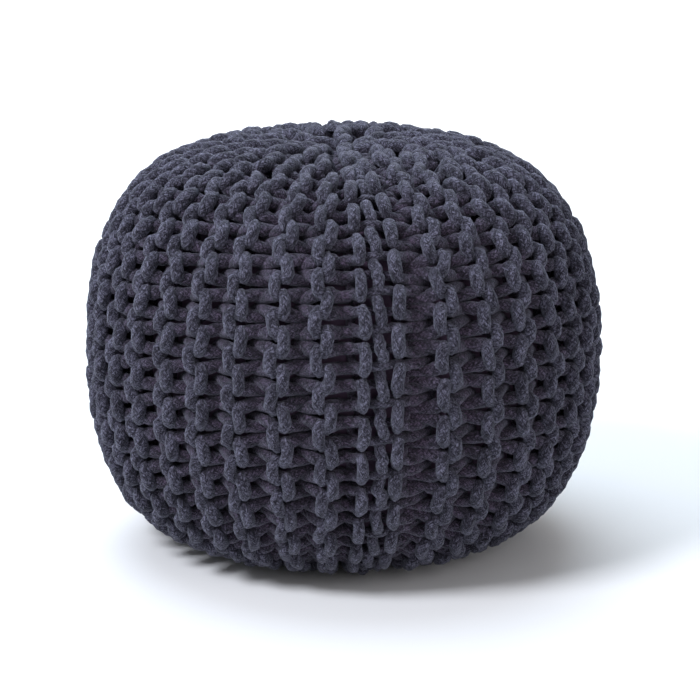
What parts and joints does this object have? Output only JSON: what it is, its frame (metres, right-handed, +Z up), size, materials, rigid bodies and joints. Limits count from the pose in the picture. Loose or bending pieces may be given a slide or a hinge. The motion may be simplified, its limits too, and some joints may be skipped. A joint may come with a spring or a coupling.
{
  "type": "knitted pouf",
  "caption": "Squat round knitted pouf of thick dark cotton cord, firmly filled, with garter-stitch ridges from pole to pole, a sewn seam at the front and a flat foot; a low seat or footrest.",
  "frame": {"origin": "centre of the flat foot that rests on the floor, on the pouf's axis", "axes": "+Z up from floor to crown, +X to the right and -Y towards the front, where the seam runs just right of the middle"},
  "size_m": [0.445, 0.4444, 0.3499],
  "materials": {
    "cotton_cord": "matte, soft braided cotton cord, dark navy"
  },
  "bodies": {
    "root": {"knitted_pouf": "cotton_cord"}
  },
  "joints": []
}
